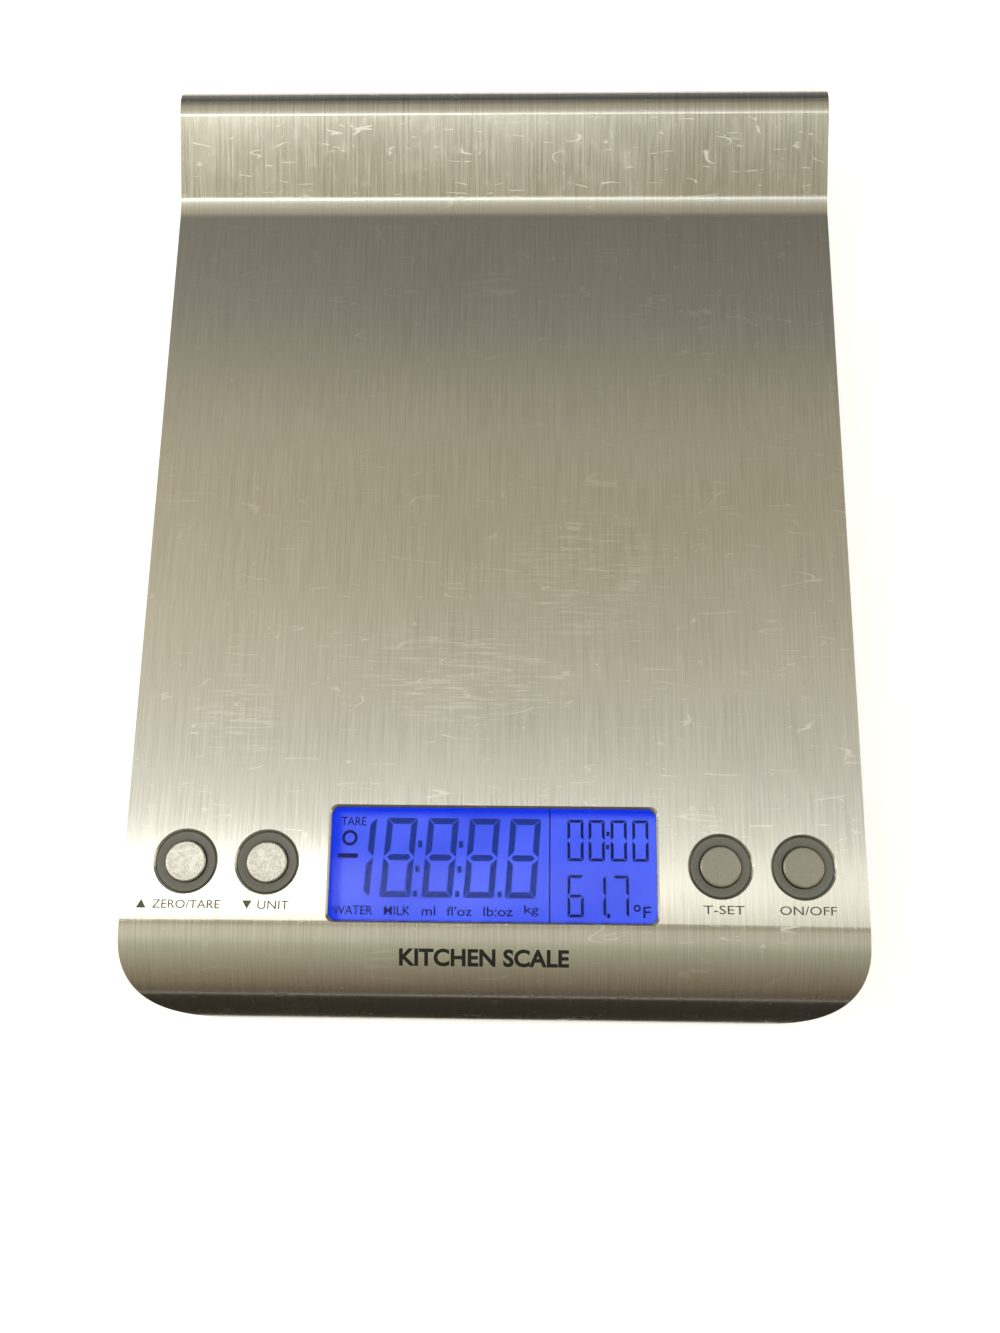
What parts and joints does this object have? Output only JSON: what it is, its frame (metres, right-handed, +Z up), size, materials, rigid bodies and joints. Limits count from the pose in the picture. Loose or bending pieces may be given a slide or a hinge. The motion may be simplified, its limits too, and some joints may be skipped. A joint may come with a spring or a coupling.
{
  "type": "digital kitchen scale",
  "caption": "Flat digital kitchen scale: a bent brushed steel plate with a raised rear edge, a blue display and round keys set in its front, over a thin housing on sensing feet.",
  "frame": {"origin": "on the worktop, under the middle of the plate", "axes": "+Z up, -Y towards the user and the display, +X to the user's right"},
  "size_m": [0.175, 0.245, 0.0303],
  "materials": {
    "brushed_stainless": "brushed lengthwise, fine scratches",
    "key_steel": "satin",
    "foam_tape": "matt",
    "abs_housing": "fine spark-eroded texture",
    "abs_ring": "satin",
    "acetal": "satin",
    "label_film": "semi-gloss film",
    "zinc_screw": "zinc plated",
    "window_acrylic": "clear polished",
    "lcd_glass": "polished",
    "light_guide": "diffusing",
    "white_film": "gloss",
    "led_blue": "clear epoxy",
    "silicone": "satin",
    "epoxy_glass": "solder mask",
    "black_epoxy": "satin",
    "tin_can": "nickel plated",
    "wire_pvc": "satin PVC",
    "battery_wrap": "gloss film wrap",
    "switch_black": "satin",
    "switch_stem": "satin",
    "spring_steel": "bright rolled",
    "rubber_pad": "matt"
  },
  "bodies": {
    "housing": {"backlight_led": "led_blue", "backlight_panel": "light_guide", "backlight_reflector": "white_film", "batteries": "battery_wrap", "battery_contacts": "tin_can", "battery_leads": "wire_pvc", "battery_springs": "tin_can", "bezel_power": "abs_ring", "bezel_tare": "abs_ring", "bezel_timer": "abs_ring", "bezel_unit": "abs_ring", "board_chips": "black_epoxy", "board_screws": "zinc_screw", "bottom_cover": "abs_housing", "cell_seats": "acetal", "cell_wires": "wire_pvc", "chip_blob": "black_epoxy", "cover_screws": "zinc_screw", "crystal": "tin_can", "display_window": "window_acrylic", "gauge_pads": "silicone", "lcd_front_glass": "lcd_glass", "lcd_holder": "acetal", "lcd_rear_glass": "lcd_glass", "load_cell_front_left": "spring_steel", "load_cell_front_right": "spring_steel", "load_cell_rear_left": "spring_steel", "load_cell_rear_right": "spring_steel", "main_board": "epoxy_glass", "plate_tape": "foam_tape", "rating_label": "label_film", "switch_bodies": "switch_black", "thermistor": "black_epoxy", "top_frame": "abs_housing", "weighing_plate": "brushed_stainless", "window_gasket": "foam_tape", "zebra_strip": "silicone"},
    "key_tare": {"key_cap_tare": "key_steel", "key_stem_tare": "acetal", "switch_plunger_tare": "switch_stem"},
    "key_unit": {"key_cap_unit": "key_steel", "key_stem_unit": "acetal", "switch_plunger_unit": "switch_stem"},
    "key_timer": {"key_cap_timer": "key_steel", "key_stem_timer": "acetal", "switch_plunger_timer": "switch_stem"},
    "key_power": {"key_cap_power": "key_steel", "key_stem_power": "acetal", "switch_plunger_power": "switch_stem"},
    "foot_unit_front_left": {"foot_front_left": "abs_housing", "foot_pad_front_left": "rubber_pad"},
    "foot_unit_front_right": {"foot_front_right": "abs_housing", "foot_pad_front_right": "rubber_pad"},
    "foot_unit_rear_left": {"foot_rear_left": "abs_housing", "foot_pad_rear_left": "rubber_pad"},
    "foot_unit_rear_right": {"foot_rear_right": "abs_housing", "foot_pad_rear_right": "rubber_pad"},
    "battery_cover": {"battery_door": "abs_housing"}
  },
  "joints": [
    {"name": "key_press_tare", "type": "slide", "parent": "housing", "child": "key_tare", "axis": [0, 0, -1], "range_m": [0, 0.00035], "stiffness_N_per_m": 3000, "springref_m": -0.0001},
    {"name": "key_press_unit", "type": "slide", "parent": "housing", "child": "key_unit", "axis": [0, 0, -1], "range_m": [0, 0.00035], "stiffness_N_per_m": 3000, "springref_m": -0.0001},
    {"name": "key_press_timer", "type": "slide", "parent": "housing", "child": "key_timer", "axis": [0, 0, -1], "range_m": [0, 0.00035], "stiffness_N_per_m": 3000, "springref_m": -0.0001},
    {"name": "key_press_power", "type": "slide", "parent": "housing", "child": "key_power", "axis": [0, 0, -1], "range_m": [0, 0.00035], "stiffness_N_per_m": 3000, "springref_m": -0.0001},
    {"name": "foot_load_front_left", "type": "slide", "parent": "housing", "child": "foot_unit_front_left", "axis": [0, 0, 1], "range_m": [0, 0.0004], "stiffness_N_per_m": 30000, "deforming": ["load_cell_front_left"]},
    {"name": "foot_load_front_right", "type": "slide", "parent": "housing", "child": "foot_unit_front_right", "axis": [0, 0, 1], "range_m": [0, 0.0004], "stiffness_N_per_m": 30000, "deforming": ["load_cell_front_right"]},
    {"name": "foot_load_rear_left", "type": "slide", "parent": "housing", "child": "foot_unit_rear_left", "axis": [0, 0, 1], "range_m": [0, 0.0004], "stiffness_N_per_m": 30000, "deforming": ["load_cell_rear_left"]},
    {"name": "foot_load_rear_right", "type": "slide", "parent": "housing", "child": "foot_unit_rear_right", "axis": [0, 0, 1], "range_m": [0, 0.0004], "stiffness_N_per_m": 30000, "deforming": ["load_cell_rear_right"]},
    {"name": "battery_door_hinge", "type": "hinge", "parent": "housing", "child": "battery_cover", "pos_m": [0, -0.0253, 0.004], "axis": [1, 0, 0], "range_deg": [0, 80]}
  ]
}
